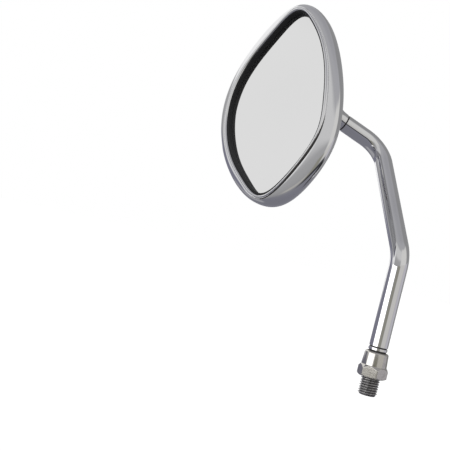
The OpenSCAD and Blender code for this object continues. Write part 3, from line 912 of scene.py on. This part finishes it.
class MIRROR_OT_housing(PieceOperator, bpy.types.Operator):
    """Chrome housing with its rolled bead, and the boss under the swivel"""

    bl_idname = "mirror.housing"
    bl_label = "Housing"

    def side(self, o, inside, start, end, count):
        """Side wall: a quarter ellipse from the rim, at turn 0, to the flat back, at a quarter turn."""
        turned = np.linspace(start, end, count)[:, None]
        rim, flat = o.rim(inside), o.flat(inside)
        return between(rim, flat, 1 - np.cos(turned), (inside - o.back(flat)) * np.sin(turned))

    # Turn of the rounded front, its share of the lip's height, and the bead's largest share of its width
    FRONT_TURN, FRONT_RISE, BEAD_SHARE = math.radians(78), 0.93, 0.55
    # Painted shadow in the valley outside the bead, in the dark finish: its row in the bead's roll, the
    # half width of the line in rows, and the compass directions in degrees between which it runs
    VALLEY, SOIL_ROWS, SOIL = 7, 8.6, (-95, -15)

    def outer(self, p, o):
        """Back, side, rounded front and rolled bead, as rows from the middle of the back to the lip's edge,
        and the number of the valley's row."""
        h = p.head
        shares = np.linspace(0.03, 1, 46)[:, None, None]
        flat = o.flat() * shares[:-1]
        back = lift(flat, -o.back(flat))
        side = self.side(o, 0, math.pi / 2, 0, 70)
        rim, lip = o.rim(), o.lip()
        width = np.linalg.norm(rim - lip, axis=1)
        bead = np.minimum(h.bead, width * self.BEAD_SHARE)
        a = np.linspace(0, self.FRONT_TURN, 26)[1:]
        share = ((1 - np.cos(a)) / (1 - np.cos(a[-1])))[:, None] * (1 - bead / width)
        rise = h.lip_rise * (np.sin(a) / np.sin(a[-1])) * self.FRONT_RISE
        front = between(rim, lip, share, rise[:, None])
        foot, edge = self.FRONT_RISE * h.lip_rise, h.lip_rise
        roll = through([(1, foot), (0.88, foot - 0.34), (0.76, foot - 0.2), (0.62, edge + 0.2),
                        (0.42, edge + 0.5), (0.18, edge + 0.34), (0.03, edge - 0.05), (0, edge - 0.5),
                        (0, edge - h.lip_t)], 5)[1:]
        share = 1 - roll[:, 0:1] * bead / width
        top = between(rim, lip, share, roll[:, 1:2])
        rows = [back, side, front]
        return np.concatenate([*rows, top]), sum(map(len, rows)) + self.VALLEY

    def painted_shade_faces(self, count, valley, o):
        """Index of the finish of each face of count rows: a painted shadow in a line along the valley,
        widest below the inboard side of the glass."""
        width = bulge(o.rim(), *self.SOIL) * self.SOIL_ROWS
        row = np.arange(count - 1)[:, None]
        return (np.abs(row - valley) < width).astype(np.int32)

    # Where the wall's inner side starts: shares of the way to the lip and of the height under it
    INNER_IN, INNER_RISE = 0.4, 0.97

    def inner(self, p, o):
        """Inside of the wall, from under the lip to the middle of the back."""
        h = p.head
        start = (h.lip_rise - h.lip_t) * self.INNER_RISE
        under = between(o.rim(h.wall), o.lip(), self.INNER_IN, start)[None]
        side = self.side(o, h.wall, 0, math.pi / 2, 24)
        flat = o.flat(h.wall) * np.linspace(0.95, 0.05, 10)[:, None, None]
        return np.concatenate([under, side, lift(flat, h.wall - o.back(flat))])

    # Of the boss: slope of its side, and in millimetres the roundness of its foot, how far that reaches,
    # the highest z of the skin that it takes, and how far inside its radius the side and the flat begin
    BOSS_SLOPE, FOOT_ROUND, FOOT_REACH, SKIN_TOP, SIDE_IN, FLAT_IN = 4.0, 1.1, 6, -3, 0.3, 1
    # Depth of the well, and how much wider it is than the dome's hollow
    WELL, WELL_WIDER = 6.5, 0.4

    def raise_boss(self, p, rings):
        """Lifts the skin round the swivel's axis to the boss: along the axis each point goes to the smooth
        maximum of its own height and a plateau that falls steeply outside the boss. Under the dome's hollow
        it goes to its own height instead, no lower than the well in which the bolt's end swings."""
        h, w = p.head, p.swivel
        rel = rings - p.ball_local
        height = rel @ p.boss_local
        radial = np.linalg.norm(rel - height[..., None] * p.boss_local, axis=-1)
        plateau = p.flange_z - HAIR
        target = plateau - self.BOSS_SLOPE * np.maximum(radial - h.boss_r + self.SIDE_IN, 0)
        share = np.clip(0.5 + 0.5 * (target - height) / self.FOOT_ROUND, 0, 1)
        lifted = height * (1 - share) + target * share + self.FOOT_ROUND * share * (1 - share) * 0.5
        near = (radial < h.boss_r + self.FOOT_REACH) & (rings[..., 2] < self.SKIN_TOP)
        lifted = np.where(near, np.where(radial < h.boss_r - self.FLAT_IN, plateau, lifted), height)
        hollow = near & (radial < w.dome_r - w.dome_wall + self.WELL_WIDER)
        lifted = np.where(hollow, np.maximum(height, p.flange_z - self.WELL), lifted)
        return rings + (lifted - height)[..., None] * p.boss_local

    # Screw posts: compass directions in degrees, distance inside the lip's line, radius, bore and foot, and
    # the foam and the plate between them and the glass
    POSTS, POST_INSIDE, POST_R, POST_BORE, POST_FOOT = (18, 102, 198, 282), 10, 3.2, 1.05, 0.8
    FOAM_T, PLATE_T = 1.0, 1.6

    def posts(self, p, o):
        """Four screw posts as plain closed columns from the back to the backing plate."""
        h = p.head
        top = h.lip_rise - h.glass_recess - h.glass_t - self.FOAM_T - self.PLATE_T
        line = o.lip(-self.POST_INSIDE)
        sheets = []
        for compass in self.POSTS:
            x, y = line[round(compass / 360 * len(line)) % len(line)]
            floor = self.POST_FOOT - float(o.back(np.array([x, y])))
            profile = rounded([(self.POST_R, floor, 0), (self.POST_R, top, 0.3), (self.POST_BORE, top, 0),
                               (self.POST_BORE, floor + 1, 0)])[1:]
            sheets.append((p.in_head(revolve(profile, 48) + [x, y, 0]),))
        return sheets

    def execute(self, context):
        p, mats = self.kit(context)
        o = Outlines(p)
        outer, valley = self.outer(p, o)
        rings = p.in_head(np.concatenate([self.raise_boss(p, outer), self.inner(p, o)]))
        tip = self.raise_boss(p, np.array([[[0, 0, -p.head.back_depth]]]))[0, 0]
        tail = np.array([0, 0, p.head.wall - p.head.back_depth])
        skin = surface("housing_skin", [(rings, p.in_head(tip), p.in_head(tail))], "head",
                       mats["chrome_plate"], ["housing_shell"], sharp=50)
        # The line along the valley takes the dark finish as a painted shadow in the gap by the bead
        add_finishes(skin, [mats["groove_soil"]], self.painted_shade_faces(len(rings), valley, o), rings.shape[1])
        surface("housing_posts", self.posts(p, o), "head", mats["chrome_plate"])
        return {"FINISHED"}


class MIRROR_OT_glass(PieceOperator, bpy.types.Operator):
    """Mirror glass and the rubber gasket round it"""

    bl_idname = "mirror.glass"
    bl_label = "Glass and gasket"

    # Bevel of the glass, the gasket's back outside the glass, the drop of its collar below the lip, and how
    # much wider the collar gets below the outboard side, in millimetres
    BEVEL, BACK_OUT, COLLAR_DROP, WIDER = 0.3, 0.5, 0.35, 1.1
    # Compass directions in degrees between which the collar is wider
    WIDE = (-180, -55)

    def execute(self, context):
        p, mats = self.kit(context)
        h, tuck = p.head, p.head.glass_tuck
        o = Outlines(p)
        low = h.lip_rise - h.glass_recess - h.glass_t
        top = low + h.glass_t
        inset = tuck - self.BEVEL
        edge = [(inset, low), (tuck, low + self.BEVEL), (tuck, top - self.BEVEL), (inset, top)]
        rows = [lift(o.lip(out), z) for out, z in edge]
        rows = [lift(o.lip(inset) * 0.5, low), *rows, lift(o.lip(inset) * 0.5, top)]
        poles = p.in_head(np.array([[0, 0, low], [0, 0, top]]))
        surface("mirror_plate", [(p.in_head(np.stack(rows)), *poles)], "head",
                mats["silvered_glass"], ["mirror_glass"], sharp=20)
        seat, collar = h.lip_rise - h.lip_t - HAIR, h.lip_rise - self.COLLAR_DROP
        back, inside = tuck + self.BACK_OUT, tuck + HAIR
        channel = rounded([
            (back, low, 0), (back, seat, 0), (-HAIR, seat, 0), (-HAIR, collar, 0.12),
            (-h.collar_w, collar, 0.2), (-h.collar_w, top + HAIR, 0.12), (inside, top + HAIR, 0),
            (inside, low, 0),
        ])
        wider = self.WIDER * bulge(o.lip(), *self.WIDE)
        rings = p.in_head(np.stack([lift(o.lip(out - wider * (out < -0.1)), z) for out, z in channel]))
        surface("edge_gasket", [(rings,)], "head", mats["gasket_rubber"], ["glass_gasket"],
                sharp=40)
        return {"FINISHED"}


class MIRROR_OT_inside(PieceOperator, bpy.types.Operator):
    """Finishes on the solids that stay as they are"""

    bl_idname = "mirror.inside"
    bl_label = "Inner pieces"

    FINISH = {
        "outer_liner": "brown_nylon",
        "inner_liner": "brown_nylon",
        "clamp_shoe": "bare_steel",
        "disc_springs": "bare_steel",
        "flat_washer": "nickel_plate",
        "pivot_bolt": "nickel_plate",
        "ring_nut": "bare_steel",
        "foam_pad": "foam_cells",
        "backing_plate": "moulded_plastic",
        "plate_screws": "nickel_plate",
    }

    def execute(self, context):
        _, mats = self.kit(context)
        for node, name in self.FINISH.items():
            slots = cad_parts[node].data.materials
            slots.clear()
            slots.append(mats[name])
        return {"FINISHED"}


class MIRROR_OT_camera(bpy.types.Operator):
    """Camera at the photograph's place"""

    bl_idname = "mirror.camera"
    bl_label = "Camera"

    # Ways from the mirror to the viewer and to the picture's right, and the camera's place in metres
    BACK, RIGHT, SPOT = (0.7868, -0.6165, 0.0), (0.5985, 0.7638, 0.2402), (0.31187, -0.36239, 0.05858)

    def execute(self, context):
        data = bpy.data.cameras.new("photo_camera")
        data.lens = context.scene.mirror_studio.lens
        data.sensor_width = 36
        data.sensor_fit = "HORIZONTAL"
        data.clip_start = 0.01
        data.clip_end = 50
        back, right = unit(np.array(self.BACK)), np.array(self.RIGHT)
        right = unit(right - (right @ back) * back)
        context.scene.camera = stand("photo_camera", data, self.SPOT, back, right)
        return {"FINISHED"}


class MIRROR_OT_stage(bpy.types.Operator):
    """White floor, soft lamps and the grey studio that the chrome reflects"""

    bl_idname = "mirror.stage"
    bl_label = "Stage"

    # Tones of the room from straight down to straight up, by (1 + height) / 2
    ROOM = (
        (0.0, (0.2, 0.2, 0.23)), (0.15, (0.2, 0.2, 0.235)), (0.33, (0.22, 0.22, 0.25)),
        (0.43, (0.3, 0.3, 0.31)), (0.5, (0.34, 0.34, 0.345)), (0.75, (0.42, 0.42, 0.425)),
        (0.93, (0.4, 0.4, 0.42)), (1.0, (0.34, 0.34, 0.36)),
    )
    # Cards in degrees: compass, half width of the core and of the edge, lowest, highest, softness, and tone
    CARDS = (
        (85, 35, 60, -5, 60, 12, (0.28, 0.28, 0.285)),
        (-150, 15, 35, -60, -8, 10, (0.36, 0.36, 0.38)),
        (-70, 62, 80, 24, 38, 10, (0.6, 0.6, 0.6)),
        (8, 26, 46, 6, 44, 8, (0.66, 0.655, 0.64)),
        (2, 22, 34, -5, 8, 3, (0.58, 0.57, 0.55)),
        (52, 14, 24, -9, 8, 3, (0.5, 0.49, 0.53)),
        (-70, 12, 20, -9, -4, 2, (0.43, 0.42, 0.4)),
        (-40, 9, 20, -12, 4, 3, (0.27, 0.265, 0.23)),
        (180, 50, 62, -12, 3, 4, (0.2, 0.2, 0.25)),
        (-5, 32, 64, -17, -12, 5, (0.04, 0.04, 0.045)),
        (50, 14, 24, -35, -15, 5, (0.02, 0.02, 0.02)),
        (-126, 15, 21, 6, 28, 8, (0.84, 0.84, 0.84)),
        (163, 13, 20, 0, 34, 4, (1.0, 1.0, 1.0)),
        (-163, 16, 22, 23, 42, 5, (0.95, 0.95, 0.95)),
    )
    # Wide far lamps: where they shine from, and how wide they look in degrees
    KEY, FILL = ((0.3, -0.8, 1.4), 50), ((-0.9, 0.5, 0.9), 60)
    # Strip lamps beside the lower stem: compass directions and spread of the light in degrees, and in
    # metres their width, their height, and how far they are from the stem and above the nut's seat
    STRIPS, STRIP_SPREAD = (-73.0, -93.0, -113.0), 60
    STRIP_W, STRIP_H, STRIP_FAR, STRIP_UP = 0.0905, 0.086, 0.25, 0.029
    # Half width of the floor in metres, its tone, and its own light as the camera sees it
    FLOOR_HALF, FLOOR_TONE, FLOOR_GLOW = 6.0, (0.82, 0.82, 0.82), 0.3

    def white_floor(self, studio):
        """A floor that shows no reflection and glows a little to the camera alone."""
        half, z = self.FLOOR_HALF, studio.floor_z
        mesh = bpy.data.meshes.new("floor")
        corners = [(-half, -half, z), (half, -half, z), (half, half, z), (-half, half, z)]
        mesh.from_pydata(corners, [], [(0, 1, 2, 3)])
        material = bpy.data.materials.new("white_floor")
        board = Board(material)
        paint = board.node("ShaderNodeBsdfDiffuse", {}, {"Color": rgba(self.FLOOR_TONE)})
        glow = board.node("ShaderNodeEmission", {}, {"Color": WHITE, "Strength": self.FLOOR_GLOW})
        seen = board.node("ShaderNodeMixShader", {}, {0: board.ray("Camera"), 2: glow})
        both = board.node("ShaderNodeAddShader", {}, {0: paint, 1: seen})
        board.node("ShaderNodeOutputMaterial", {}, {"Surface": both})
        mesh.materials.append(material)
        floor = add_object("floor", mesh)
        floor.visible_glossy = False

    def world(self, scene, level):
        """The world: white to the camera, even light for diffuse rays, and for reflections a soft studio of
        grey cards laid out by direction."""
        scene.world = bpy.data.worlds.new("studio")
        board = Board(scene.world)
        way = board.node("ShaderNodeTexCoord", out="Generated")
        up = board.dot(way, (0, 0, 1))
        stops = [(place, rgba(tone)) for place, tone in self.ROOM]
        room = board.node("ShaderNodeValToRGB", {"stops": stops}, {"Fac": up * 0.5 + 0.5}, out="Color")
        level_way = board.vector("NORMALIZE", board.vector("MULTIPLY", way, (1, 1, 0)))
        for compass, core, edge, low, high, soft, tone in self.CARDS:
            cosine = board.dot(level_way, heading(0, math.radians(compass)))
            sides = board.steps(cosine, math.cos(math.radians(edge)), math.cos(math.radians(core)))
            a, b, c, d = (math.sin(math.radians(rise)) for rise in (low - soft, low, high, high + soft))
            foot = board.steps(up, a, b)
            head = board.steps(up, c, d, 1.0, 0.0)
            room = board.mix(sides * foot * head, room, tone)
        lit, mirrored, white = (
            board.node("ShaderNodeBackground", {}, {"Color": colour, "Strength": strength})
            for colour, strength in ((WHITE, level), (room, 1.0), (WHITE, 1.0))
        )
        shade = board.node("ShaderNodeMixShader", {}, {0: board.ray("Glossy"), 1: lit, 2: mirrored})
        clear = board.ray("Camera") + board.ray("Transmission")
        shade = board.node("ShaderNodeMixShader", {}, {0: clear, 1: shade, 2: white})
        board.node("ShaderNodeOutputWorld", {}, {"Surface": shade})

    def lamp(self, name, power, spot, spread):
        """A wide far lamp that shines from spot towards the origin."""
        data = bpy.data.lights.new(name, "SUN")
        data.energy = power
        data.angle = math.radians(spread)
        back = unit(np.array(spot))
        stand(name, data, spot, back, across(back)).visible_glossy = False

    def strip_lamp(self, compass, power, lit):
        """A small gridded lamp that faces the lower stem and shows in its chrome as a white strip. It
        lights only the pieces in the collection lit."""
        data = bpy.data.lights.new("strip_lamp", "AREA")
        data.shape = "RECTANGLE"
        data.size, data.size_y = self.STRIP_W, self.STRIP_H
        data.spread = math.radians(self.STRIP_SPREAD)
        data.energy = power
        back = heading(0, math.radians(compass))
        lamp = stand("strip_lamp", data, back * self.STRIP_FAR + [0, 0, self.STRIP_UP], back, -across(back))
        lamp.visible_camera = False
        lamp.light_linking.receiver_collection = lit

    def execute(self, context):
        scene = context.scene
        studio = scene.mirror_studio
        scene.view_settings.view_transform = "Standard"
        self.white_floor(studio)
        self.world(scene, studio.world)
        self.lamp("key_lamp", studio.key, *self.KEY)
        self.lamp("fill_lamp", studio.fill, *self.FILL)
        lit = bpy.data.collections.new("strip_lit")
        for name in ("stem_bar", "lock_nut_body"):
            lit.objects.link(bpy.data.objects[name])
        for compass in self.STRIPS:
            self.strip_lamp(compass, studio.strip, lit)
        return {"FINISHED"}


class MIRROR_PT_panel(bpy.types.Panel):
    """Lists the pieces of the mirror and their sizes"""

    bl_label = "Mirror"
    bl_idname = "MIRROR_PT_panel"
    bl_space_type = "VIEW_3D"
    bl_region_type = "UI"
    bl_category = "Mirror"

    def draw(self, context):
        for operator in OPERATORS:
            self.layout.operator(operator.bl_idname)
        for key in GROUPS:
            box = self.layout.box()
            group = getattr(context.scene, key)
            box.label(text=GROUPS[key].__doc__)
            for name in GROUPS[key].__annotations__:
                box.prop(group, name)


GROUPS = {
    "mirror_stem": StemSizes,
    "mirror_swivel": SwivelSizes,
    "mirror_head": HeadSizes,
    "mirror_finishes": Finishes,
    "mirror_studio": Studio,
}
OPERATORS = (
    MIRROR_OT_camera,
    MIRROR_OT_stem,
    MIRROR_OT_nut,
    MIRROR_OT_swivel,
    MIRROR_OT_housing,
    MIRROR_OT_glass,
    MIRROR_OT_inside,
    MIRROR_OT_stage,
)


def register():
    for cls in (*GROUPS.values(), *OPERATORS, MIRROR_PT_panel):
        bpy.utils.register_class(cls)
    for key, group in GROUPS.items():
        setattr(bpy.types.Scene, key, PointerProperty(type=group))


def unregister():
    for key in GROUPS:
        delattr(bpy.types.Scene, key)
    for cls in reversed((*GROUPS.values(), *OPERATORS, MIRROR_PT_panel)):
        bpy.utils.unregister_class(cls)


def main():
    """Runs every operator."""
    register()
    bpy.ops.mirror.camera()
    bpy.ops.mirror.stem()
    bpy.ops.mirror.nut()
    bpy.ops.mirror.swivel()
    bpy.ops.mirror.housing()
    bpy.ops.mirror.glass()
    bpy.ops.mirror.inside()
    bpy.ops.mirror.stage()


if __name__ == "__main__":
    main()
